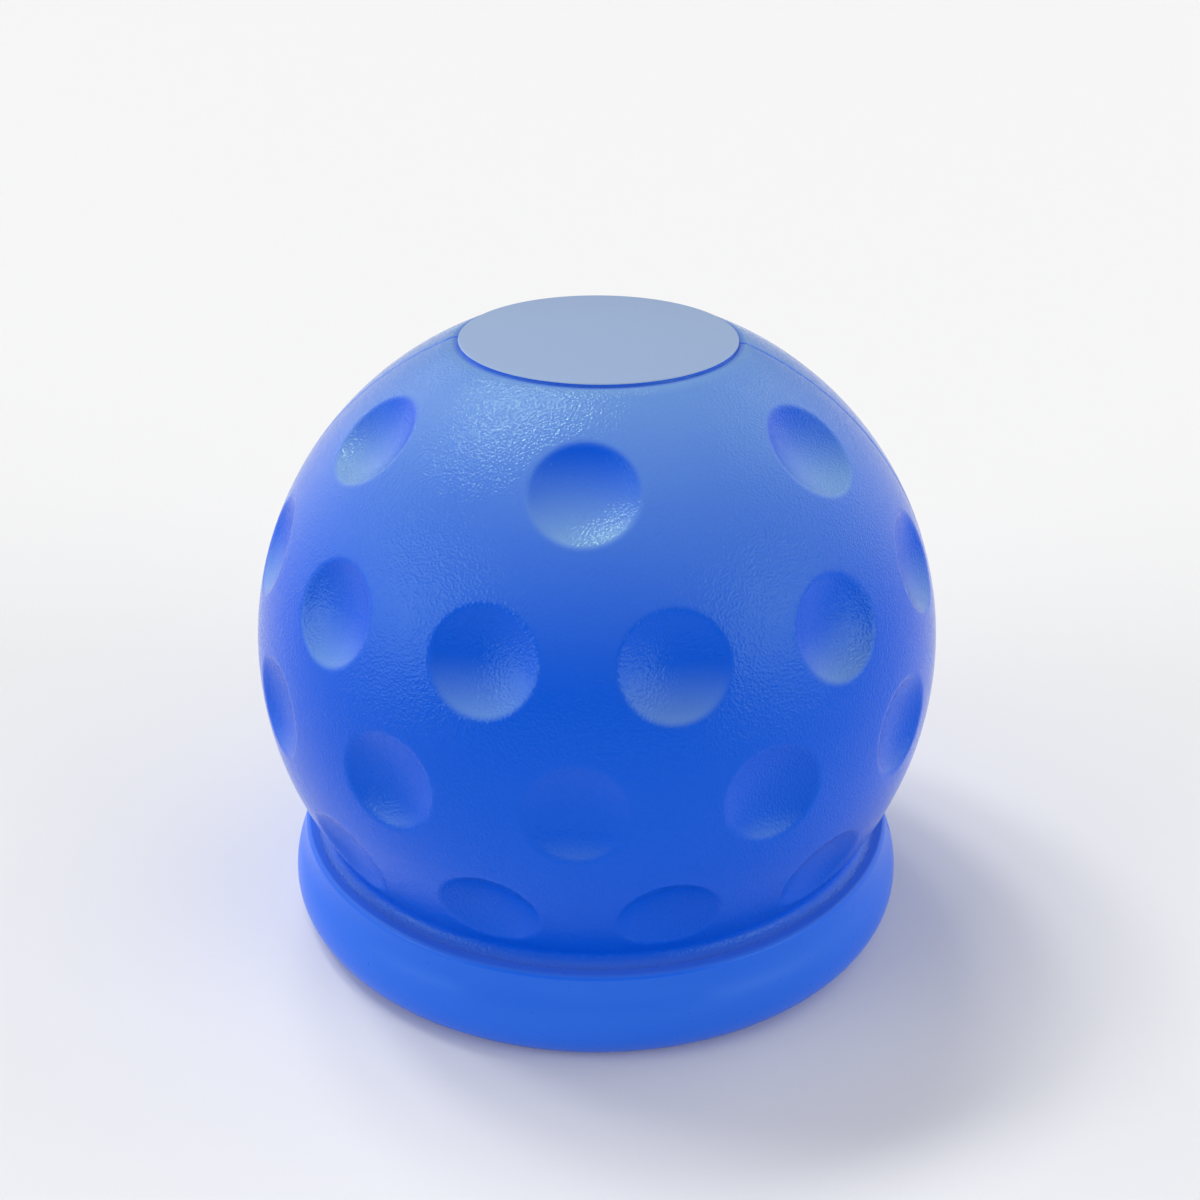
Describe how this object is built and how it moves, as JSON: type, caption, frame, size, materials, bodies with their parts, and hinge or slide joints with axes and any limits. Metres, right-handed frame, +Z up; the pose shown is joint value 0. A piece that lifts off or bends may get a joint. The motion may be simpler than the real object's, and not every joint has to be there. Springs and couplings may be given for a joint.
{
  "type": "tow ball cover",
  "caption": "Soft moulded cap for a tow ball, shaped like a dimpled golf ball with a flat crown and a flared collar, and open below so that it pushes over the ball.",
  "frame": {"origin": "centre of the flat ring that the cover stands on, at the mouth", "axes": "+Z up along the axis of the cover, -Y towards the front, where a dimple of the crown row and one of the middle row face"},
  "size_m": [0.0674, 0.0674, 0.0605],
  "materials": {
    "blue_rubber": "satin, with a fine eroded grain from the mould and a smooth crown pad"
  },
  "bodies": {
    "root": {"ball_cover": "blue_rubber"}
  },
  "joints": []
}
